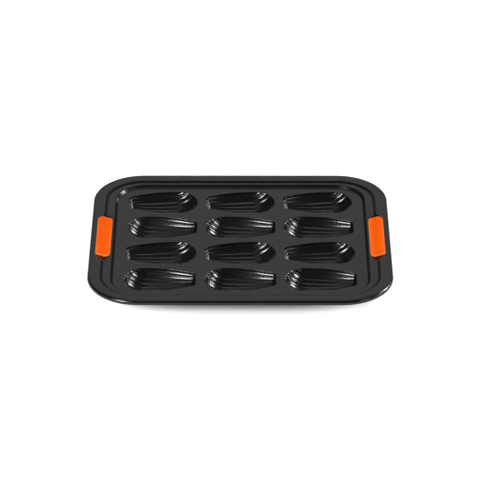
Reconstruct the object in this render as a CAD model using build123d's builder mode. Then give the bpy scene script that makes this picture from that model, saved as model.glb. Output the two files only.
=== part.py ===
"""A madeleine pan: one pressed and coated steel sheet with twelve fluted shell moulds, its edge
rolled round a stiffening wire, and a soft grip clipped through a slot at each end.

The origin lies under the middle of the pan, on the surface that it stands on. X runs along the
pan, Y towards its back and Z up. All sizes are in millimetres."""

import os
from math import asin, atan2, cos, pi, radians, sin, sqrt

from build123d import *

# The sheet, and the inside radius of its bends
sheet = 1.0
bend_radius = 1.5

# The shell moulds
columns = 3
rows = 4
mould_length = 80.0
mould_width = 49.0
bowl_depth = 14.5
tip_width = 24.4
tip_depth = 8.0
tip_lean = 3.2
land_cut = 0.3

# The edges of the flutes, from the middle of a mould to its side, and the depth of a flute,
# as shares of the half section and of the flute's width
flute_edge_shares = [0.094, 0.28, 0.465, 0.705, 1.0]
flute_depth_share = 0.15

# How far before the bowl the flutes start to fan out
fan_lead = 45.0

# How the moulds are laid out on the deck
gap_along = 10.1
gap_across = 9.1
end_margin = 12.8
side_margin = 9.6
deck_corner_radius = 33.0

# The two steps from the deck up to the flange
lower_step_run = 2.3
lower_step_drop = 3.4
ledge_along = 8.8
ledge_across = 3.1
upper_step_run = 3.5
upper_step_drop = 2.0

# The flange and the rolled edge with its wire
flange_width = 13.7
corner_radius = 58.0
bead_diameter = 6.2
bead_rise = 0.4
curl_gap = 2.5
wire_clearance = 0.15

# The grips
grip_length = 87.0
grip_width = 17.0
grip_corner = 6.0
grip_inset = 6.9
grip_proud = 1.5
grip_under = 1.3
grip_bend = 2.5
grip_round = 0.8
slot_lap = 3.0
slot_clearance = 0.1

# Stretches of sheet run into each other by the lap before they are joined, and cuts run past
# what they cut by the overrun
lap = 0.2
overrun = 5.0

# How many sections shape the long body of a mould and its round bowl
body_sections = 8
bowl_sections = 5
bowl_turn_past_deck = radians(8)

# Sizes that follow, in plan
deck_length = columns * mould_length + (columns - 1) * gap_along + 2 * end_margin
deck_width = rows * mould_width + (rows - 1) * gap_across + 2 * side_margin
step_length = deck_length + 2 * lower_step_run
step_width = deck_width + 2 * lower_step_run
step_radius = deck_corner_radius + lower_step_run
rim_width = flange_width + upper_step_run
pan_length = step_length + 2 * (ledge_along + rim_width)
pan_width = step_width + 2 * (ledge_across + rim_width)

# A mould's bowl is part of a sphere whose middle stands above the deck
bowl_radius = ((mould_width / 2) ** 2 + bowl_depth**2) / (2 * bowl_depth)
bowl_opening = asin(mould_width / 2 / bowl_radius)
bowl_axis_height = bowl_radius - bowl_depth
middle_flute_width = 2 * bowl_radius * sin(flute_edge_shares[0] * bowl_opening)
middle_flute_depth = flute_depth_share * middle_flute_width
bowl_reach = sqrt((bowl_radius + middle_flute_depth) ** 2 - bowl_axis_height**2)
bowl_axis_x = mould_length / 2 - bowl_reach
body_length = mould_length - bowl_reach
fan_length = fan_lead + bowl_radius * bowl_opening
mould_depth = bowl_depth + middle_flute_depth - land_cut

# Heights above the surface that the pan stands on
deck_top = mould_depth + sheet
ledge_top = deck_top + lower_step_drop
flange_top = ledge_top + upper_step_drop
bead_centre_height = flange_top + bead_rise - bead_diameter / 2


def arc_drop(distance, span, drop):
    """How far an arc that falls by drop over its span has fallen at a distance from its top."""
    radius = (span**2 + drop**2) / (2 * drop)
    return radius - sqrt(radius**2 - distance**2)


def moved_off(points, height):
    """A line of points on the sheet's upper face, moved off it to a height above or below."""
    slopes = [atan2(b[1] - a[1], a[0] - b[0]) for a, b in zip(points, points[1:])]
    slopes = [slopes[0], *slopes, slopes[-1]]
    moved = []
    for (x, z), before, after in zip(points, slopes, slopes[1:]):
        stretch = height / (1 + cos(after - before))
        moved.append((x + stretch * (sin(before) + sin(after)), z + stretch * (cos(before) + cos(after))))
    return moved


def band(points, low, high, low_radii, high_radii):
    """The face between two heights off a bent line of points, seen along the pan's end."""
    lower, upper = moved_off(points, low), moved_off(points, high)
    with BuildSketch(Plane.XZ) as face:
        with BuildLine():
            FilletPolyline(*upper, radius=high_radii)
            Line(upper[-1], lower[-1])
            FilletPolyline(*reversed(lower), radius=low_radii[::-1])
            Line(lower[0], upper[0])
        make_face()
    return face.sketch


def sheet_band(points):
    """The sheet below a line that bends down and then level again."""
    outside = bend_radius + sheet
    return band(points, -sheet, 0, [bend_radius, outside], [outside, bend_radius])


def rounded_path(length, width, radius, height):
    """A rounded rectangle that starts in the middle of its right-hand side."""
    x, y = length / 2, width / 2
    with BuildLine(Plane.XY.offset(height)) as path:
        Line((x, 0), (x, y - radius))
        CenterArc((x - radius, y - radius), radius, 0, 90)
        Line((x - radius, y), (radius - x, y))
        CenterArc((radius - x, y - radius), radius, 90, 90)
        Line((-x, y - radius), (-x, radius - y))
        CenterArc((radius - x, radius - y), radius, 180, 90)
        Line((radius - x, -y), (x - radius, -y))
        CenterArc((x - radius, radius - y), radius, 270, 90)
        Line((x, radius - y), (x, 0))
    return path.wire()


def fluted_section(plane, radius, centre, edge_angles, top):
    """One section of a mould: a row of arcs along its fluted floor, closed above by a box."""
    angles = [-angle for angle in reversed(edge_angles)] + edge_angles

    def on_floor(angle, sunk=0):
        return ((radius + sunk) * sin(angle), centre - (radius + sunk) * cos(angle))

    with BuildSketch(plane) as section:
        with BuildLine():
            for here, there in zip(angles, angles[1:]):
                flute_depth = flute_depth_share * 2 * radius * sin((there - here) / 2)
                middle = on_floor((here + there) / 2, flute_depth)
                ThreePointArc(on_floor(here), middle, on_floor(there))
            left, right = on_floor(angles[0]), on_floor(angles[-1])
            Polyline(right, (right[0], top), (left[0], top), left)
        make_face()
    return section.sketch


def flute_angles(opening, way):
    """The angles of the flutes' edges. They lie at even shares of the opening at the tip, and
    fan out on the way (0 to 1) to where the bowl meets the deck."""
    angles = []
    for share in flute_edge_shares:
        even = share * opening
        fanned = asin(sin(opening) * sin(share * pi / 2))
        angles.append(even + max(way, 0) * (fanned - even))
    return angles


def body_section(back, grown):
    """A section across the body of a mould, at a distance back from the bowl towards the tip.
    The floor stays nearly level from the bowl and rises faster and faster towards the tip."""
    half_width = mould_width / 2 - arc_drop(back, body_length, (mould_width - tip_width) / 2)
    depth = bowl_depth - (bowl_depth - tip_depth) * (back / body_length) ** 3
    radius = (half_width**2 + depth**2) / (2 * depth)
    opening = asin(half_width / radius)
    plane = Plane(origin=(bowl_axis_x - back, 0, 0), x_dir=(0, 1, 0), z_dir=(1, 0, 0))
    angles = flute_angles(opening, (fan_lead - back) / fan_length)
    return fluted_section(plane, radius + grown, radius - depth, angles, overrun)


def bowl_section(turn, grown):
    """A section of the bowl, swung up from below its axis."""
    angles = flute_angles(bowl_opening, (fan_lead + bowl_radius * turn) / fan_length)
    forwards = (cos(turn), 0, sin(turn))
    plane = Plane(origin=(bowl_axis_x, 0, bowl_axis_height), x_dir=(0, 1, 0), z_dir=forwards)
    return fluted_section(plane, bowl_radius + grown, 0, angles, overrun - bowl_axis_height)


def mould_solid(grown, top):
    """The space in a mould, with its mouth at height zero, or its outside where it has grown."""
    tip_tilt = atan2(tip_lean, tip_depth)
    tip_plane = Plane(
        origin=(-mould_length / 2 - grown / cos(tip_tilt), 0, 0),
        x_dir=(0, 1, 0),
        z_dir=(cos(tip_tilt), 0, sin(tip_tilt)),
    )
    farthest = body_length + overrun
    last_turn = bowl_opening + bowl_turn_past_deck
    sections = [body_section(farthest * (1 - i / body_sections), grown) for i in range(body_sections)]
    sections += [bowl_section(last_turn * i / bowl_sections, grown) for i in range(bowl_sections + 1)]
    with BuildPart() as mould:
        loft(sections=sections)
        split(bisect_by=tip_plane, keep=Keep.TOP)
        split(bisect_by=Plane.XY.offset(-mould_depth - grown), keep=Keep.TOP)
        split(bisect_by=Plane.XY.offset(top), keep=Keep.BOTTOM)
    return mould.part


def mould_places():
    """The moulds' places, with the tips to the left in every other row from the back."""
    places = []
    for row in range(rows):
        for column in range(columns):
            x = (column - (columns - 1) / 2) * (mould_length + gap_along)
            y = ((rows - 1) / 2 - row) * (mould_width + gap_across)
            places.append(Location((x, y, deck_top), (0, 0, 180 * (row % 2))))
    return places


# The outer edge of the pan and the middle of the grips, across a straight end
edge_x = pan_length / 2
bead_x = edge_x - bead_diameter / 2
grip_x = edge_x - grip_inset - grip_width / 2
curl_inside = bead_diameter / 2 - sheet

# The upper face of the sheet from the bead over the upper step, and from the ledge to the deck
rim_line = [
    (bead_x - curl_inside / 2, flange_top),
    (edge_x - flange_width, flange_top),
    (edge_x - rim_width, ledge_top),
    (edge_x - rim_width - ledge_across / 2 - lap, ledge_top),
]
step_line = [
    (step_length / 2 + ledge_across / 2 + lap, ledge_top),
    (step_length / 2, ledge_top),
    (deck_length / 2, deck_top),
    (deck_length / 2 - bend_radius - sheet, deck_top),
]

# The sheet seen end on at the rim: the flange and upper step, and the curl with its gap below
with BuildSketch(Plane.XZ) as rim_face:
    with Locations((bead_x, bead_centre_height)):
        Circle(bead_diameter / 2)
        Circle(curl_inside, mode=Mode.SUBTRACT)
    with Locations((bead_x - curl_inside / 2, flange_top - sheet)):
        Rectangle(bead_diameter, curl_gap, align=(Align.MAX, Align.MAX), mode=Mode.SUBTRACT)
    add(sheet_band(rim_line))

# The pan: the rolled rim, the two steps, the deck, the moulds and the slots for the grips
rim_path = rounded_path(pan_length, pan_width, corner_radius, flange_top)
step_path = rounded_path(step_length, step_width, step_radius, ledge_top)
inner_mould = mould_solid(0, overrun)
outer_mould = mould_solid(sheet, -sheet / 2)
with BuildPart() as pan_body:
    sweep(sections=rim_face.sketch, path=rim_path)
    sweep(sections=sheet_band(step_line), path=step_path)
    with BuildSketch(Plane.XY.offset(ledge_top)):
        inset = rim_width + ledge_across / 2 - lap
        RectangleRounded(pan_length - 2 * inset, pan_width - 2 * inset, corner_radius - inset)
        spread = ledge_across / 2 - lap
        RectangleRounded(
            step_length + 2 * spread, step_width + 2 * spread, step_radius + spread, mode=Mode.SUBTRACT
        )
    extrude(amount=-sheet)
    with BuildSketch(Plane.XY.offset(deck_top)):
        inset = bend_radius + sheet - lap
        RectangleRounded(deck_length - 2 * inset, deck_width - 2 * inset, deck_corner_radius - inset)
    extrude(amount=-sheet)
    with Locations(mould_places()):
        add(outer_mould)
    with Locations(mould_places()):
        add(inner_mould, mode=Mode.SUBTRACT)
    with BuildSketch(Plane.XY.offset(flange_top + overrun)):
        with Locations((grip_x, 0), (-grip_x, 0)):
            inset = 2 * slot_lap
            RectangleRounded(grip_width - inset, grip_length - inset, grip_corner - slot_lap)
    extrude(amount=-2 * overrun - upper_step_drop, mode=Mode.SUBTRACT)
pan_body.part.label = "pan_body"

# The stiffening wire inside the rolled edge
wire_length = pan_length - bead_diameter
wire_width = pan_width - bead_diameter
wire_corner = corner_radius - bead_diameter / 2
with BuildPart() as rim_wire:
    with BuildSketch(Plane.XZ):
        with Locations((bead_x, bead_centre_height)):
            Circle(curl_inside - wire_clearance)
    sweep(path=rounded_path(wire_length, wire_width, wire_corner, bead_centre_height))
rim_wire.part.label = "rim_wire"

# The stretch of sheet that a grip takes between its pads, with the slot for the grip's neck
pad_line = [(edge_x - grip_inset + overrun, flange_top), *rim_line[1:3]]
pad_line.append((edge_x - grip_inset - grip_width - overrun, ledge_top))
with BuildPart() as held_sheet:
    extrude(sheet_band(pad_line), amount=grip_length, both=True)
    with BuildSketch(Plane.XY.offset(flange_top + overrun)):
        with Locations((grip_x, 0)):
            neck_lap = slot_lap + slot_clearance
            inset = 2 * neck_lap
            RectangleRounded(grip_width - inset, grip_length - inset, grip_corner - neck_lap)
    extrude(amount=-2 * overrun - upper_step_drop, mode=Mode.SUBTRACT)

# The grips: a pad above and a pad below the sheet, joined by a neck through the slot
pad_radii = [grip_bend, grip_bend]
pad_face = band(pad_line, -sheet - grip_under, grip_proud, pad_radii, pad_radii)
with BuildPart() as grip_right:
    extrude(pad_face, amount=grip_length, both=True)
    with BuildSketch(Plane.XY.offset(flange_top + overrun)):
        with Locations((grip_x, 0)):
            RectangleRounded(grip_width, grip_length, grip_corner)
    extrude(amount=-2 * overrun - upper_step_drop, mode=Mode.INTERSECT)
    pad_edges = grip_right.edges().filter_by(Axis.Z, reverse=True)
    fillet(pad_edges, radius=grip_round)
    add(held_sheet.part, mode=Mode.SUBTRACT)
grip_right.part.label = "grip_right"

with BuildPart() as grip_left:
    add(grip_right.part.rotate(Axis.Z, 180))
grip_left.part.label = "grip_left"

os.makedirs("parts", exist_ok=True)
for piece in (pan_body, rim_wire, grip_right, grip_left):
    export_step(piece.part, f"parts/{piece.part.label}.step")
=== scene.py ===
"""The looks of the madeleine pan: the coated sheet as one fine mesh, the soft grips, the wire in
the rolled edge, a white floor, soft studio light and a camera at the photograph's angle.

Sizes are in millimetres up to the point where a mesh is made, and metres from there."""

from math import atan2, cos, pi, radians, sin, sqrt, tan

import bmesh
import bpy
import numpy as np
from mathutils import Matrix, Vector
from mathutils.geometry import delaunay_2d_cdt


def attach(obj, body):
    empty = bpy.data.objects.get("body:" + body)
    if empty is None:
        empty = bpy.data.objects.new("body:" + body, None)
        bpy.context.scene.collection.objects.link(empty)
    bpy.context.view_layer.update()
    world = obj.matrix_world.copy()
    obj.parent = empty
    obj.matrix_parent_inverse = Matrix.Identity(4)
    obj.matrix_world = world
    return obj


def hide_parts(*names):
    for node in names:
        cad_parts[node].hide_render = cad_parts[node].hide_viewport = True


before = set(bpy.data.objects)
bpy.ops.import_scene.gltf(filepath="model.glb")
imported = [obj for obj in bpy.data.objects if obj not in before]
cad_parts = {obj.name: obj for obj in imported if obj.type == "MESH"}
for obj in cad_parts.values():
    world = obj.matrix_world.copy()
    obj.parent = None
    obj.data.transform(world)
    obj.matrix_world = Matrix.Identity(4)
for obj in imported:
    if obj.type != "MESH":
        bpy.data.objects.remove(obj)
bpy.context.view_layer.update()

MM = 0.001

# In millimetres: points this close are joined, and edges this short are left out of an outline
merge_distance = 0.002
shortest_edge = 0.003

# The sheet, and the radius of its bends along the middle of its thickness
sheet = 1.0
bend_radius = 2.0

# The shell moulds
columns = 3
rows = 4
mould_length = 80.0
mould_width = 49.0
bowl_depth = 14.5
tip_width = 24.4
tip_depth = 8.0
tip_lean = 3.2
tip_corner_radius = 2.7
land_cut = 0.3
flute_edge_shares = [0.094, 0.28, 0.465, 0.705, 1.0]
flute_depth_share = 0.15

# How far before the bowl the flutes start to fan out
fan_lead = 45.0

# How soft the turns in a mould's surface are, as the height over which two surfaces blend
ridge_blend = 0.55
lip_blend = 1.2
tip_blend = 2.6
land_blend = 0.25
lip_clearance = 0.2

# How fast the base that the flutes are blended into falls away inside a mould
base_fall = 20

# How the moulds are laid out on the deck
gap_along = 10.1
gap_across = 9.1
end_margin = 12.8
side_margin = 9.6
deck_corner_radius = 33.0

# The two steps from the deck up to the flange
lower_step_run = 2.3
lower_step_drop = 3.4
ledge_along = 8.8
ledge_across = 3.1
upper_step_run = 3.5
upper_step_drop = 2.0

# The flange and the rolled edge
flange_width = 13.7
corner_radius = 58.0
bead_diameter = 6.2
bead_rise = 0.4
curl_start = radians(105)
curl_end = radians(-162)
curl_root_radius = 4.0
curl_steps = 24

# The grips, and the width of the band along their edges where a painted highlight makes their colour
# paler
grip_length = 87.0
grip_width = 17.0
grip_corner = 6.0
grip_inset = 6.9
grip_proud = 1.5
grip_under = 1.3
grip_edge_radius = 1.2
grip_highlight_band = 0.9
grip_softening = 2.5
grip_gap = 0.03
slot_lap = 3.0
slot_clearance = 0.1

# The rings of points over a grip's pads: how far in from the edge, and the parts of the rounded
# edge, of a corner, of a long side and of an end
pad_insets = [grip_corner, 5.2, 4.4, 3.6, 2.8, 2.0, 1.4]
pad_edge_steps = 5
pad_corner_steps = 6
pad_side_steps = 20
pad_end_steps = 8

# Sizes that follow, in plan
deck_length = columns * mould_length + (columns - 1) * gap_along + 2 * end_margin
deck_width = rows * mould_width + (rows - 1) * gap_across + 2 * side_margin
step_length = deck_length + 2 * lower_step_run
step_width = deck_width + 2 * lower_step_run
step_radius = deck_corner_radius + lower_step_run
rim_width = flange_width + upper_step_run
pan_length = step_length + 2 * (ledge_along + rim_width)
pan_width = step_width + 2 * (ledge_across + rim_width)

# A mould's bowl is part of a sphere whose middle stands above the deck
bowl_radius = ((mould_width / 2) ** 2 + bowl_depth**2) / (2 * bowl_depth)
bowl_opening = np.arcsin(mould_width / 2 / bowl_radius)
bowl_axis_height = bowl_radius - bowl_depth
middle_flute_width = 2 * bowl_radius * sin(flute_edge_shares[0] * bowl_opening)
middle_flute_depth = flute_depth_share * middle_flute_width
bowl_reach = sqrt((bowl_radius + middle_flute_depth) ** 2 - bowl_axis_height**2)
bowl_axis_x = mould_length / 2 - bowl_reach
body_length = mould_length - bowl_reach
fan_length = fan_lead + bowl_radius * bowl_opening
mould_depth = bowl_depth + middle_flute_depth - land_cut

# Heights above the surface that the pan stands on
deck_top = mould_depth + sheet
ledge_top = deck_top + lower_step_drop
flange_top = ledge_top + upper_step_drop
bead_centre_height = flange_top + bead_rise - bead_diameter / 2


# Mesh helpers

class Shape:
    """Points and faces that are gathered patch by patch and then made into one mesh."""

    def __init__(self):
        self.points = []
        self.faces = []
        self.count = 0

    def add(self, points, faces):
        points = np.asarray(points, float).reshape(-1, 3)
        self.points.append(points)
        self.faces += [tuple(int(i) + self.count for i in face) for face in faces]
        self.count += len(points)

    def made(self, name, material):
        mesh = bpy.data.meshes.new(name)
        mesh.from_pydata(np.concatenate(self.points) * MM, [], self.faces)
        obj = bpy.data.objects.new(name, mesh)
        bpy.context.scene.collection.objects.link(obj)
        merge_and_smooth(obj)
        mesh.materials.append(material)
        return obj


def merge_and_smooth(obj, distance=merge_distance * MM):
    """Joins points that coincide, turns every face outwards and shades the mesh smooth."""
    shape = bmesh.new()
    shape.from_mesh(obj.data)
    bmesh.ops.remove_doubles(shape, verts=shape.verts, dist=distance)
    bmesh.ops.dissolve_degenerate(shape, edges=shape.edges, dist=distance / 4)
    bmesh.ops.recalc_face_normals(shape, faces=shape.faces)
    shape.to_mesh(obj.data)
    shape.free()
    obj.data.shade_smooth()


def grid_faces(across, along, closed=False):
    """Faces between rows of points: across rows, along points in each, closed into rings or not."""
    faces = []
    last = along if closed else along - 1
    for i in range(across - 1):
        for j in range(last):
            here, there = i * along + j, i * along + (j + 1) % along
            faces.append((here, here + along, there + along, there))
    return faces


def smooth_max(a, b, reach):
    """The larger of two heights, rounded where they differ by less than the reach."""
    near = np.maximum(reach - np.abs(a - b), 0) / reach
    return np.maximum(a, b) + near**2 * reach / 4


def smooth_min(a, b, reach):
    return -smooth_max(-a, -b, reach)


# The shell moulds

def arc_drop(distance, span, drop):
    """How far an arc that falls by drop over its span has fallen at a distance from its top."""
    radius = (span**2 + drop**2) / (2 * drop)
    return radius - np.sqrt(radius**2 - distance**2)


def flute_edges():
    return [-share for share in reversed(flute_edge_shares)] + flute_edge_shares


def fluted_sag(angle, edge_angles, radius):
    """How far the fluted floor lies outside the circle of its ridges, at an angle from the
    middle of a mould."""
    blend = ridge_blend * radius / bowl_radius
    sag = np.minimum(base_fall * (np.abs(angle) / edge_angles[-1] - 1), 0)
    for low, high in zip(edge_angles, edge_angles[1:]):
        deepest = flute_depth_share * 2 * radius * np.sin((high - low) / 2)
        flute = 4 * deepest * (angle - low) * (high - angle) / (high - low) ** 2
        sag = smooth_max(sag, flute, blend)
    return sag


def body_shape(back):
    """Half width, depth, radius and opening angle of a mould's section at a distance back from
    its bowl, with the corners of the tip rounded in plan."""
    half_width = mould_width / 2 - arc_drop(back, body_length, (mould_width - tip_width) / 2)
    to_tip = np.clip(body_length - back, 0, tip_corner_radius)
    corner_cut = tip_corner_radius - np.sqrt(tip_corner_radius**2 - (tip_corner_radius - to_tip) ** 2)
    half_width = half_width - corner_cut
    depth = bowl_depth - (bowl_depth - tip_depth) * (back / body_length) ** 3
    radius = (half_width**2 + depth**2) / (2 * depth)
    return half_width, depth, radius, np.arcsin(half_width / radius)


def share_line():
    """Places across a mould: close together at the ridges and at the lip, as shares of the half
    section, and past 1 as shares of the way over the lip."""
    half = [0.0]
    low = -flute_edge_shares[0]
    for number, high in enumerate(flute_edge_shares):
        steps = 9 if number == 0 else 8
        inner = [low + (high - low) * (1 - cos(pi * i / steps)) / 2 for i in range(1, steps + 1)]
        half += [share for share in inner if share > 1e-6]
        low = high
    last = [share for share in half if share < 0.93]
    lip = [0.93 + 0.07 * i / 6 for i in range(7)]
    half = last + lip
    over = [0.2, 0.4, 0.6, 0.8, 1.0, 1.1]
    inside = [-share for share in reversed(half[1:])] + half
    return np.array(inside), np.array(over)


def flute_angle(share, opening, way):
    """The angle of a line along the flutes. The lines lie at even shares of the opening at the
    tip, and fan out on the way (0 to 1) to where the bowl meets the deck."""
    inner = np.arcsin(np.sin(opening) * np.sin(np.clip(share, -1, 1) * pi / 2))
    fanned = inner + np.sign(share) * np.maximum(np.abs(share) - 1, 0) * opening
    part = np.clip(way, 0, 1)
    return share * opening * (1 - part) + fanned * part


def bowl_points(share, turn, grown):
    """Points of the bowl, which swings up about its axis while its flutes fan out."""
    radius = bowl_radius + grown
    way = (fan_lead + bowl_radius * turn) / fan_length
    angle = flute_angle(share, bowl_opening, way)
    edge_angles = [flute_angle(edge, bowl_opening, way) for edge in flute_edges()]
    reach = radius + fluted_sag(angle, edge_angles, radius)
    x = bowl_axis_x + reach * np.cos(angle) * np.sin(turn)
    z = bowl_axis_height - reach * np.cos(angle) * np.cos(turn)
    return x, reach * np.sin(angle), z, reach * np.cos(angle)


def mould_surface(grown, level):
    """A grid of points over one side of a mould and a little beyond its lip, with the tip to the
    left and the deck's upper face at height zero. It ends flat at the level."""
    past_lip = level + lip_blend + lip_clearance
    inside, over = share_line()
    tilt = atan2(tip_lean, tip_depth)
    tip_x = -mould_length / 2 - grown / cos(tilt)
    fall = tip_depth / tip_lean

    # Stations along the body, close together at the tip
    start = tip_x - (past_lip + 6 * lip_clearance) / fall
    near_tip = np.linspace(start, tip_x + 1.8 * tip_lean, 50)
    rest_share = np.linspace(0, 1, 22)[1:]
    rest = near_tip[-1] + (bowl_axis_x - near_tip[-1]) * rest_share
    stations = np.concatenate([near_tip, rest])
    half_width, depth, radius, opening = (
        value[:, None] for value in body_shape(bowl_axis_x - stations)
    )
    fluted = np.clip((stations[:, None] + mould_length / 2) / tip_corner_radius, 0, 1)
    centre = radius - depth
    spread = np.arccos(np.clip((centre - past_lip) / (radius + grown), -1, 1)) / opening - 1
    side = 1 + spread * over[None, :]
    share = np.concatenate(
        [-side[:, ::-1], np.broadcast_to(inside, (len(stations), len(inside))), side], axis=1
    )
    way = (fan_lead - (bowl_axis_x - stations)[:, None]) / fan_length
    angle = flute_angle(share, opening, way)
    edge_angles = [flute_angle(edge, opening, way) for edge in flute_edges()]
    reach = radius + grown + fluted * fluted_sag(angle, edge_angles, radius + grown)
    body_y = reach * np.sin(angle)
    body_z = centre - reach * np.cos(angle)
    body_x = np.broadcast_to(stations[:, None], body_y.shape)

    # Stations round the bowl, each line of them ending just past the lip
    last_share = share[-1][None, :]
    end = np.full(last_share.shape, bowl_opening)
    for _ in range(30):
        across = bowl_points(last_share, end, grown)[3]
        end = np.arccos(np.clip((bowl_axis_height - past_lip) / across, -1, 1))
    progress = np.concatenate([np.linspace(0, 0.92, 28)[1:], np.linspace(0.92, 1, 8)[1:], [1.015]])
    bowl_x, bowl_y, bowl_z, _ = bowl_points(last_share, end * progress[:, None], grown)

    x = np.concatenate([body_x, bowl_x])
    y = np.concatenate([body_y, bowl_y])
    z = np.concatenate([body_z, bowl_z])
    z = smooth_max(z, -(x - tip_x) * fall, tip_blend)
    z = smooth_max(z, -mould_depth - grown, land_blend)
    z = smooth_min(z, level, lip_blend)
    return np.stack([x, y, z], axis=2)


def mould_places():
    """The middle of each mould, and 1 or -1 for a tip to the left or to the right."""
    places = []
    for row in range(rows):
        for column in range(columns):
            x = (column - (columns - 1) / 2) * (mould_length + gap_along)
            y = ((rows - 1) / 2 - row) * (mould_width + gap_across)
            places.append((x, y, -1 if row % 2 else 1))
    return places


def border(grid):
    """The outline of a grid of points, anticlockwise from above."""
    return np.concatenate([grid[:-1, 0], grid[-1, :-1], grid[:0:-1, -1], grid[0, :0:-1]])


def without_repeats(outline):
    """An outline without points that lie on the one before."""
    gap = np.linalg.norm(outline - np.roll(outline, 1, axis=0), axis=1)
    return outline[gap > shortest_edge]


def add_deck_side(shape, edge_ring, grown, level):
    """One side of the deck: the moulds' surfaces and the flat between them and the edge ring."""
    grid = mould_surface(grown, level)
    across, along = grid.shape[:2]
    outlines = [edge_ring[:, :2]]
    for x, y, way in mould_places():
        placed = grid * (way, way, 1) + (x, y, deck_top)
        shape.add(placed, grid_faces(across, along))
        outlines.append(without_repeats(border(placed)[:, :2]))
    points, loops = [], []
    for outline in outlines:
        loops.append(list(range(len(points), len(points) + len(outline))))
        points += [Vector((float(x), float(y))) for x, y in outline]
    made, _, faces, _, _, sources = delaunay_2d_cdt(points, [], loops, 1, 1e-5)
    flat = [(p.x, p.y, deck_top + level) for p in made]
    shape.add(flat, [face for face, source in zip(faces, sources) if list(source) == [0]])


# The rim: a line along the middle of the sheet's thickness, swept round the pan

def rounded_line(points, radii, steps=6):
    """A bent line with an arc in each corner, as points with their normals."""
    line = []
    for i, radius in enumerate(radii, start=1):
        before, corner, after = (np.array(points[j], float) for j in (i - 1, i, i + 1))
        way_in = (corner - before) / np.linalg.norm(corner - before)
        way_out = (after - corner) / np.linalg.norm(after - corner)
        turn = atan2(way_in[0] * way_out[1] - way_in[1] * way_out[0], way_in @ way_out)
        length = radius * tan(abs(turn) / 2)
        side = np.array([-way_in[1], way_in[0]]) * (1 if turn > 0 else -1)
        centre = corner - way_in * length + side * radius
        for step in range(steps + 1):
            part = turn * step / steps
            spoke = -side
            spoke = np.array([
                spoke[0] * cos(part) - spoke[1] * sin(part),
                spoke[0] * sin(part) + spoke[1] * cos(part),
            ])
            outward = spoke * (1 if turn > 0 else -1)
            line.append((*(centre + spoke * radius), *(-outward)))
    return line


def rim_profile():
    """The middle of the sheet from the ledge to the end of the curl, as distances in from the
    pan's edge and heights, with normals that point up on the flange."""
    middle = sheet / 2
    curl_radius = bead_diameter / 2 - middle
    centre = (bead_diameter / 2, bead_centre_height)
    joint = (centre[0] - curl_radius * cos(curl_start), centre[1] + curl_radius * sin(curl_start))
    flange_height = flange_top - middle
    root_x = joint[0] + (joint[1] - flange_height) / tan(curl_start - pi / 2)
    shift_out = middle * tan(atan2(upper_step_drop, upper_step_run) / 2)
    corners = [
        (rim_width + ledge_across / 2, ledge_top - middle),
        (rim_width - shift_out, ledge_top - middle),
        (flange_width - shift_out, flange_height),
        (root_x, flange_height),
        joint,
    ]
    line = rounded_line(corners, [bend_radius, bend_radius, curl_root_radius])
    line = [(x, z, -normal_x, -normal_z) for x, z, normal_x, normal_z in line]
    line.insert(0, (*corners[0], 0, 1))
    for step in range(curl_steps + 1):
        angle = curl_start + (curl_end - curl_start) * step / curl_steps
        spoke = (-cos(angle), sin(angle))
        line.append((centre[0] + curl_radius * spoke[0], centre[1] + curl_radius * spoke[1], *spoke))
    return line


def step_profile():
    """The middle of the sheet from the deck up to the ledge, as distances out from the step's
    upper corner and heights."""
    middle = sheet / 2
    shift = middle * tan(atan2(lower_step_drop, lower_step_run) / 2)
    corners = [
        (-lower_step_run - bend_radius - sheet, deck_top - middle),
        (-lower_step_run + shift, deck_top - middle),
        (shift, ledge_top - middle),
        (ledge_across / 2, ledge_top - middle),
    ]
    line = rounded_line(corners, [bend_radius, bend_radius])
    return [(*corners[0], 0, 1)] + line + [(*corners[-1], 0, 1)]


def ring(length, width, radius, height, arc_steps=24, long_steps=14):
    """A rounded rectangle of points whose straight ends have points at the slots' corners."""
    x, y = length / 2, width / 2
    slot = grip_length / 2 - slot_lap
    end_y = np.concatenate([
        np.linspace(radius - y, -slot, 4)[:-1],
        np.linspace(-slot, slot, 9)[:-1],
        np.linspace(slot, y - radius, 4),
    ])
    side_x = np.linspace(x - radius, radius - x, long_steps + 1)
    quarter = np.linspace(0, pi / 2, arc_steps + 1)[1:-1]

    def corner(cx, cy, start):
        return [(cx + radius * cos(start + a), cy + radius * sin(start + a)) for a in quarter]

    points = [(x, v) for v in end_y]
    points += corner(x - radius, y - radius, 0)
    points += [(v, y) for v in side_x]
    points += corner(radius - x, y - radius, pi / 2)
    points += [(-x, -v) for v in end_y]
    points += corner(radius - x, radius - y, pi)
    points += [(-v, -y) for v in side_x]
    points += corner(x - radius, radius - y, 3 * pi / 2)
    return np.array([(px, py, height) for px, py in points])


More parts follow.
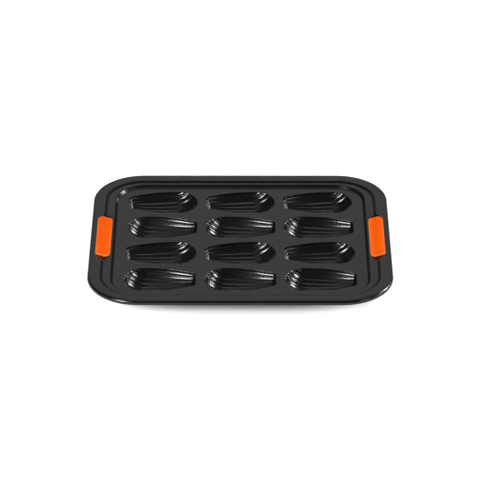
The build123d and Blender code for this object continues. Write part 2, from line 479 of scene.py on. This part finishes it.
def sheet_rings(side):
    """Rings over the steps, the flange and the curl, from the deck outwards, on the upper (1) or
    the lower (-1) side of the sheet, and the numbers of the two rings that bound the slots."""
    rings = []
    offset = side * sheet / 2
    for x, z, normal_x, normal_z in step_profile():
        out, height = x + normal_x * offset, z + normal_z * offset
        rings.append(ring(step_length + 2 * out, step_width + 2 * out, step_radius + out, height))
    outer = []
    slot_out = grip_inset + slot_lap
    for x, z, normal_x, normal_z in rim_profile():
        inset, height = x + normal_x * offset, z + normal_z * offset
        length, width = pan_length - 2 * inset, pan_width - 2 * inset
        outer.append((inset, ring(length, width, corner_radius - inset, height)))
    ledge_inset = outer[0][0]
    slot_in = grip_inset + grip_width - slot_lap
    step_inset = pan_length / 2 - rings[-1][0, 0]
    share = (slot_in - ledge_inset) / (step_inset - ledge_inset)
    rings.append(outer[0][1] * (1 - share) + rings[-1] * share)
    inner_ring = len(rings) - 1
    outer_ring = None
    for before, (inset, points) in zip([None] + outer, outer):
        if before and before[0] > slot_out > inset and outer_ring is None:
            part = (before[0] - slot_out) / (before[0] - inset)
            rings.append(before[1] * (1 - part) + points * part)
            outer_ring = len(rings) - 1
        rings.append(points)
    return np.array(rings), inner_ring, outer_ring


def slot_columns():
    """The numbers of the first and last point of a ring along each slot."""
    points = ring(pan_length, pan_width, corner_radius, 0)
    slot = grip_length / 2 - slot_lap
    spans = []
    for side in (1, -1):
        on_end = points[:, 0] * side > pan_length / 2 - merge_distance
        beside_slot = np.abs(points[:, 1]) < slot + merge_distance
        found = np.flatnonzero(on_end & beside_slot)
        spans.append((found[0], found[-1]))
    return spans


def make_pan(material):
    upper, inner_ring, outer_ring = sheet_rings(1)
    lower = sheet_rings(-1)[0]
    count = upper.shape[1]
    spans = slot_columns()

    def in_slot(row, column):
        return inner_ring <= row < outer_ring and any(a <= column < b for a, b in spans)

    shape = Shape()
    for rings in (upper, lower):
        faces = grid_faces(len(rings), count, closed=True)
        kept = [f for n, f in enumerate(faces) if not in_slot(n // count, n % count)]
        shape.add(rings, kept)
    end = np.stack([upper[-1], lower[-1]])
    shape.add(end, grid_faces(2, count, closed=True))
    slot_rings = slice(inner_ring, outer_ring + 1)
    for first, last in spans:
        for row in (inner_ring, outer_ring):
            wall = np.stack([upper[row, first:last + 1], lower[row, first:last + 1]])
            shape.add(wall, grid_faces(2, last - first + 1))
        for column in (first, last):
            wall = np.stack([upper[slot_rings, column], lower[slot_rings, column]])
            shape.add(wall, grid_faces(2, outer_ring - inner_ring + 1))
    add_deck_side(shape, upper[0], 0, 0)
    add_deck_side(shape, lower[0], sheet, -sheet)
    return shape.made("coated_sheet", material)


# The grips

def sheet_line(side):
    """Insets from the pan's edge and heights of one side of the sheet across a grip."""
    before_curl = rim_profile()[:-curl_steps]
    line = [(x + nx * side * sheet / 2, z + nz * side * sheet / 2) for x, z, nx, nz in before_curl]
    across = [p for p in line if grip_inset - 1 < p[0] < rim_width + ledge_across / 2]
    ledge = ledge_top + (side - 1) * sheet / 2
    across.append((grip_inset + 2 * grip_width, ledge))
    across.sort()
    insets, heights = zip(*across)
    return np.array(insets), np.array(heights)


def softened(line):
    """The heights of a line, with its bends spread out as on a thick soft pad."""
    insets = np.linspace(line[0][0], line[0][-1], 200)
    heights = np.interp(insets, *line)
    reach = np.linspace(-grip_softening, grip_softening, 21)
    return insets, np.mean([np.interp(insets + step, insets, heights) for step in reach], axis=0)


def pad_ring(inset):
    """A rounded rectangle of points about zero, inset from a grip's outline."""
    x, y = grip_width / 2 - inset, grip_length / 2 - inset
    radius = max(grip_corner - inset, 0)
    quarter = np.linspace(0, pi / 2, pad_corner_steps + 1)[1:-1]
    side_y = np.linspace(radius - y, y - radius, pad_side_steps + 1)
    end_x = np.linspace(x - radius, radius - x, pad_end_steps + 1)

    def corner(cx, cy, start):
        return [(cx + radius * cos(start + a), cy + radius * sin(start + a)) for a in quarter]

    points = [(x, v) for v in side_y] + corner(x - radius, y - radius, 0)
    points += [(v, y) for v in end_x] + corner(radius - x, y - radius, pi / 2)
    points += [(-x, -v) for v in side_y] + corner(radius - x, radius - y, pi)
    points += [(-v, -y) for v in end_x] + corner(x - radius, radius - y, 3 * pi / 2)
    return np.array(points)


def make_grip(name, side, material):
    """A grip: a pad above and a pad below the sheet, with its neck through the slot."""
    over, under = sheet_line(1), sheet_line(-1)
    soft_over, soft_under = softened(over), softened(under)
    middle = grip_inset + grip_width / 2

    def height(points, line, extra):
        return np.interp(middle - points[:, 0], line[0], line[1]) + extra

    shape = Shape()
    turns = [pi / 2 * step / pad_edge_steps for step in range(pad_edge_steps + 1)]

    def pad_rings(line, soft_line, way, thickness):
        made = []
        for inset in pad_insets:
            points = pad_ring(inset)
            made.append(np.column_stack([points, height(points, soft_line, way * thickness)]))
        for turn in turns:
            drop = grip_edge_radius * (1 - cos(turn))
            points = pad_ring(grip_edge_radius * (1 - sin(turn)))
            made.append(np.column_stack([points, height(points, soft_line, way * (thickness - drop))]))
        points = pad_ring(0)
        made.append(np.column_stack([points, height(points, line, way * grip_gap)]))
        neck = pad_ring(slot_lap + slot_clearance)
        made.append(np.column_stack([neck, height(neck, line, way * grip_gap)]))
        return made

    upper = pad_rings(over, soft_over, 1, grip_proud)
    lower = pad_rings(under, soft_under, -1, grip_under)
    rings = np.array(upper + lower[::-1])
    rings[:, :, 0] = side * (pan_length / 2 - middle + rings[:, :, 0])
    rings[:, :, 1] *= side
    shape.add(rings, grid_faces(len(rings), rings.shape[1], closed=True))
    for which in (0, -1):
        first = rings[which]
        right = first[:pad_side_steps + 1]
        start = pad_side_steps + 1 + pad_end_steps + 1 + 2 * (pad_corner_steps - 1)
        left = first[start:start + pad_side_steps + 1][::-1]
        part = np.linspace(0, 1, pad_end_steps + 1)[:, None, None]
        face = right[None] * (1 - part) + left[None] * part
        line, extra = (soft_over, grip_proud) if which == 0 else (soft_under, -grip_under)
        local_x = side * face[:, :, 0] - (pan_length / 2 - middle)
        face[:, :, 2] = np.interp(middle - local_x, line[0], line[1]) + extra
        shape.add(face, grid_faces(pad_end_steps + 1, pad_side_steps + 1))
    grip = shape.made(name, material)
    mark_painted_highlight(grip, side * (pan_length / 2 - middle))
    return grip


def mark_painted_highlight(grip, middle_x):
    """Stores how near each point of a grip is to the pads' outline, as the mask of a painted highlight
    along the edges: 1 up to the band's width in from it, and 0 from twice that width on."""
    points = np.array([point.co for point in grip.data.vertices]) / MM
    past_x = np.abs(points[:, 0] - middle_x) - (grip_width / 2 - grip_corner)
    past_y = np.abs(points[:, 1]) - (grip_length / 2 - grip_corner)
    corner = np.sqrt(np.maximum(past_x, 0) ** 2 + np.maximum(past_y, 0) ** 2)
    inset = grip_corner - corner - np.minimum(np.maximum(past_x, past_y), 0)
    # The 'edge' attribute is the mask of the painted highlight along the pads' edges
    layer = grip.data.attributes.new("edge", "FLOAT", "POINT")
    layer.data.foreach_set("value", np.clip(2 - inset / grip_highlight_band, 0, 1))


# Materials

def new_material(name):
    material = bpy.data.materials.new(name)
    material.use_nodes = True
    nodes, links = material.node_tree.nodes, material.node_tree.links
    return material, nodes, links, nodes["Principled BSDF"]


def noise(nodes, links, scale, detail=2.0, roughness=0.5):
    """A noise texture that is fixed to the object, with its scale in waves per metre."""
    place = nodes.new("ShaderNodeTexCoord")
    texture = nodes.new("ShaderNodeTexNoise")
    texture.inputs["Scale"].default_value = scale
    texture.inputs["Detail"].default_value = detail
    texture.inputs["Roughness"].default_value = roughness
    links.new(place.outputs["Object"], texture.inputs["Vector"])
    return texture.outputs["Fac"]


def mapped(nodes, links, value, low, high):
    """A texture's value from 0 to 1, mapped to a range."""
    spread = nodes.new("ShaderNodeMapRange")
    spread.inputs["To Min"].default_value = low
    spread.inputs["To Max"].default_value = high
    links.new(value, spread.inputs["Value"])
    return spread.outputs["Result"]


def blended(nodes, links, value, first, second):
    """Two colours, mixed by a texture's value."""
    ramp = nodes.new("ShaderNodeValToRGB")
    ramp.color_ramp.elements[0].color = (*first, 1)
    ramp.color_ramp.elements[1].color = (*second, 1)
    ramp.color_ramp.elements[0].position = 0.3
    ramp.color_ramp.elements[1].position = 0.7
    links.new(value, ramp.inputs["Fac"])
    return ramp.outputs["Color"]


def bumped(nodes, links, layers):
    """A normal with one bump for each height, strength and distance, laid one over the other."""
    normal = None
    for height, strength, distance in layers:
        bump = nodes.new("ShaderNodeBump")
        bump.inputs["Strength"].default_value = strength
        bump.inputs["Distance"].default_value = distance
        links.new(height, bump.inputs["Height"])
        if normal:
            links.new(normal, bump.inputs["Normal"])
        normal = bump.outputs["Normal"]
    return normal


def coated_steel():
    """A dark non-stick coating: satin, with a fine grain and faint cloudiness."""
    material, nodes, links, shader = new_material("non_stick_coating")
    grain = noise(nodes, links, 2600, 3)
    ripple = noise(nodes, links, 420, 2)
    cloud = noise(nodes, links, 28, 3)
    colour = blended(nodes, links, cloud, (0.0030, 0.0030, 0.0031), (0.0046, 0.0046, 0.0047))
    links.new(colour, shader.inputs["Base Color"])
    links.new(mapped(nodes, links, grain, 0.18, 0.23), shader.inputs["Roughness"])
    shader.inputs["Specular IOR Level"].default_value = 0.5
    normal = bumped(nodes, links, [(grain, 0.06, 0.00003), (ripple, 0.05, 0.00004)])
    links.new(normal, shader.inputs["Normal"])
    return material


def silicone():
    """Satin orange silicone with a fine moulded texture, and a painted highlight: a paler colour along
    the pads' rounded edges.
    """
    material, nodes, links, shader = new_material("orange_silicone")
    grain = noise(nodes, links, 3200, 3)
    cloud = noise(nodes, links, 60, 2)
    middle = blended(nodes, links, cloud, (0.90, 0.102, 0.0005), (0.96, 0.116, 0.001))
    # The paler colour is a painted highlight along the pads' rounded edges, mixed in by the 'edge'
    # attribute
    edge = nodes.new("ShaderNodeAttribute")
    edge.attribute_name = "edge"
    mix = nodes.new("ShaderNodeMix")
    mix.data_type = "RGBA"
    inner_colour, painted_highlight_colour, colour = mix.inputs[6], mix.inputs[7], mix.outputs[2]
    links.new(edge.outputs["Fac"], mix.inputs["Factor"])
    links.new(middle, inner_colour)
    painted_highlight_colour.default_value = (0.86, 0.19, 0.035, 1)
    links.new(colour, shader.inputs["Base Color"])
    links.new(mapped(nodes, links, grain, 0.45, 0.55), shader.inputs["Roughness"])
    shader.inputs["Specular IOR Level"].default_value = 0.05
    links.new(bumped(nodes, links, [(grain, 0.15, 0.00004)]), shader.inputs["Normal"])
    return material


def steel_wire():
    """Drawn steel wire, bright with fine scratches."""
    material, nodes, links, shader = new_material("drawn_wire")
    scratch = noise(nodes, links, 1800, 4)
    colour = blended(nodes, links, scratch, (0.40, 0.40, 0.41), (0.50, 0.50, 0.51))
    links.new(colour, shader.inputs["Base Color"])
    shader.inputs["Metallic"].default_value = 1.0
    links.new(mapped(nodes, links, scratch, 0.25, 0.45), shader.inputs["Roughness"])
    links.new(bumped(nodes, links, [(scratch, 0.1, 0.00002)]), shader.inputs["Normal"])
    return material


def floor_white():
    """White paper with a glow that the camera sees. The glow fades in a soft patch under the pan, a
    painted shade there in which the pan's own shadow shows too; in reflections the patch is larger, a
    painted shade in the pan's reflection of the floor."""
    material, nodes, links, shader = new_material("white_floor")
    shader.inputs["Base Color"].default_value = (0.55, 0.55, 0.55, 1)
    shader.inputs["Roughness"].default_value = 1.0
    shader.inputs["Specular IOR Level"].default_value = 0.0
    path = nodes.new("ShaderNodeLightPath")
    seen = nodes.new("ShaderNodeMath")
    seen.operation = "MAXIMUM"
    links.new(path.outputs["Is Camera Ray"], seen.inputs[0])
    links.new(path.outputs["Is Glossy Ray"], seen.inputs[1])
    through = nodes.new("ShaderNodeMath")
    through.operation = "MAXIMUM"
    links.new(seen.outputs["Value"], through.inputs[0])
    links.new(path.outputs["Is Transmission Ray"], through.inputs[1])
    place = nodes.new("ShaderNodeTexCoord")
    scaled = nodes.new("ShaderNodeVectorMath")
    scaled.operation = "MULTIPLY"
    scaled.inputs[1].default_value = (1 / shade_patch_size[0], 1 / shade_patch_size[1], 0)
    links.new(place.outputs["Object"], scaled.inputs[0])
    squared = nodes.new("ShaderNodeVectorMath")
    squared.operation = "MULTIPLY"
    links.new(scaled.outputs["Vector"], squared.inputs[0])
    links.new(scaled.outputs["Vector"], squared.inputs[1])
    away = nodes.new("ShaderNodeVectorMath")
    away.operation = "LENGTH"
    links.new(squared.outputs["Vector"], away.inputs[0])
    # In reflections the patch of painted shade is larger, which darkens the pan's reflection of the
    # floor
    nearer = nodes.new("ShaderNodeMapRange")
    nearer.inputs["To Min"].default_value = 1.0
    nearer.inputs["To Max"].default_value = mirrored_share
    links.new(path.outputs["Is Glossy Ray"], nearer.inputs["Value"])
    shrunk = nodes.new("ShaderNodeMath")
    shrunk.operation = "MULTIPLY"
    links.new(away.outputs["Value"], shrunk.inputs[0])
    links.new(nearer.outputs["Result"], shrunk.inputs[1])
    spread = nodes.new("ShaderNodeMapRange")
    spread.interpolation_type = "SMOOTHSTEP"
    for name, value in zip(("From Min", "From Max", "To Min", "To Max"), (*shade_patch_edge, *floor_glow)):
        spread.inputs[name].default_value = value
    links.new(shrunk.outputs["Value"], spread.inputs["Value"])
    glow = nodes.new("ShaderNodeMath")
    glow.operation = "MULTIPLY"
    links.new(through.outputs["Value"], glow.inputs[0])
    links.new(spread.outputs["Result"], glow.inputs[1])
    shader.inputs["Emission Color"].default_value = (1, 1, 1, 1)
    links.new(glow.outputs["Value"], shader.inputs["Emission Strength"])
    return material


# The stage

# The floor, the half sizes of the patch of painted shade under the pan, the shares of them over which
# the glow grows, and how strong it is inside and outside the patch. In a reflection, a distance from
# the middle counts only for the mirrored share of it, so the painted shade is larger there
floor_size = 20.0
shade_patch_size = (0.155, 0.140)
shade_patch_edge = (0.60, 1.08)
floor_glow = (0.05, 0.8)
mirrored_share = 0.6

# The camera: how far it stands from the point that it looks at, over the pan's middle
camera_elevation = radians(30.33)
camera_turn = radians(0.053)
camera_distance = 3.307
camera_lens = 217.30
look_at = Vector((-0.00037, -0.00455, bead_centre_height * MM))

# The lamps: direction from the pan as azimuth from the right towards the back and elevation in
# degrees, distance, width and height in metres, and radiance
lamps = {
    "left_softbox": (230, 29, 1.5, 0.46, 0.44, 33.0),
    "right_softbox": (22, 32, 1.5, 0.40, 0.38, 34.0),
    "side_softbox": (352, 16, 1.5, 0.34, 0.30, 5.0),
    "front_softbox": (324, 31, 1.5, 0.38, 0.34, 5.0),
    "back_panel": (88, 54, 1.5, 0.45, 0.30, 1.5),
    "top_softbox": (200, 72, 1.5, 0.60, 0.60, 0.6),
}

# The world: its strength all round, and the round of light behind the pan with its height over
# the horizon and its inner and outer reach
world_strength = 0.07
glow_strength = 0.5
glow_elevation = radians(42)
glow_core = radians(14)
glow_reach = radians(34)


def make_floor():
    bpy.ops.mesh.primitive_plane_add(size=floor_size, location=(0, 0, 0))
    floor = bpy.context.object
    floor.name = "floor"
    floor.data.materials.append(floor_white())


def make_lamps():
    for name, (azimuth, elevation, distance, width, height, radiance) in lamps.items():
        lamp = bpy.data.lights.new(name, "AREA")
        lamp.shape = "RECTANGLE"
        lamp.size, lamp.size_y = width, height
        lamp.energy = radiance * pi * width * height
        obj = bpy.data.objects.new(name, lamp)
        bpy.context.scene.collection.objects.link(obj)
        a, e = radians(azimuth), radians(elevation)
        way = Vector((cos(a) * cos(e), sin(a) * cos(e), sin(e)))
        obj.location = way * distance
        obj.rotation_euler = way.to_track_quat("Z", "Y").to_euler()


def make_world():
    """Dim light from all round, with a brighter round of it behind the pan, over the horizon."""
    world = bpy.data.worlds.new("studio")
    bpy.context.scene.world = world
    world.use_nodes = True
    nodes, links = world.node_tree.nodes, world.node_tree.links
    background = nodes["Background"]
    place = nodes.new("ShaderNodeTexCoord")
    near = nodes.new("ShaderNodeVectorMath")
    near.operation = "DOT_PRODUCT"
    near.inputs[1].default_value = (0, cos(glow_elevation), sin(glow_elevation))
    links.new(place.outputs["Generated"], near.inputs[0])
    spread = nodes.new("ShaderNodeMapRange")
    spread.interpolation_type = "SMOOTHSTEP"
    spread.inputs["From Min"].default_value = cos(glow_reach)
    spread.inputs["From Max"].default_value = cos(glow_core)
    spread.inputs["To Min"].default_value = world_strength
    spread.inputs["To Max"].default_value = glow_strength
    links.new(near.outputs["Value"], spread.inputs["Value"])
    links.new(spread.outputs["Result"], background.inputs["Strength"])
    background.inputs["Color"].default_value = (1, 1, 1, 1)


def make_camera():
    camera = bpy.data.objects.new("camera", bpy.data.cameras.new("camera"))
    bpy.context.scene.collection.objects.link(camera)
    back = Vector((
        sin(camera_turn) * cos(camera_elevation),
        -cos(camera_turn) * cos(camera_elevation),
        sin(camera_elevation),
    ))
    camera.location = look_at + back * camera_distance
    camera.rotation_euler = back.to_track_quat("Z", "Y").to_euler()
    camera.data.lens = camera_lens
    camera.data.clip_end = 50
    bpy.context.scene.camera = camera


# The pieces

coating = coated_steel()
orange = silicone()
wire_steel = steel_wire()

pan = make_pan(coating)
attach(pan, "root")
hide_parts("pan_body")

for node, side in (("grip_right", 1), ("grip_left", -1)):
    grip = make_grip(node + "_pad", side, orange)
    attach(grip, "root")
    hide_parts(node)

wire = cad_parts["rim_wire"]
wire.data.materials.clear()
wire.data.materials.append(wire_steel)

make_floor()
make_lamps()
make_world()
make_camera()
bpy.context.scene.view_settings.view_transform = "Standard"
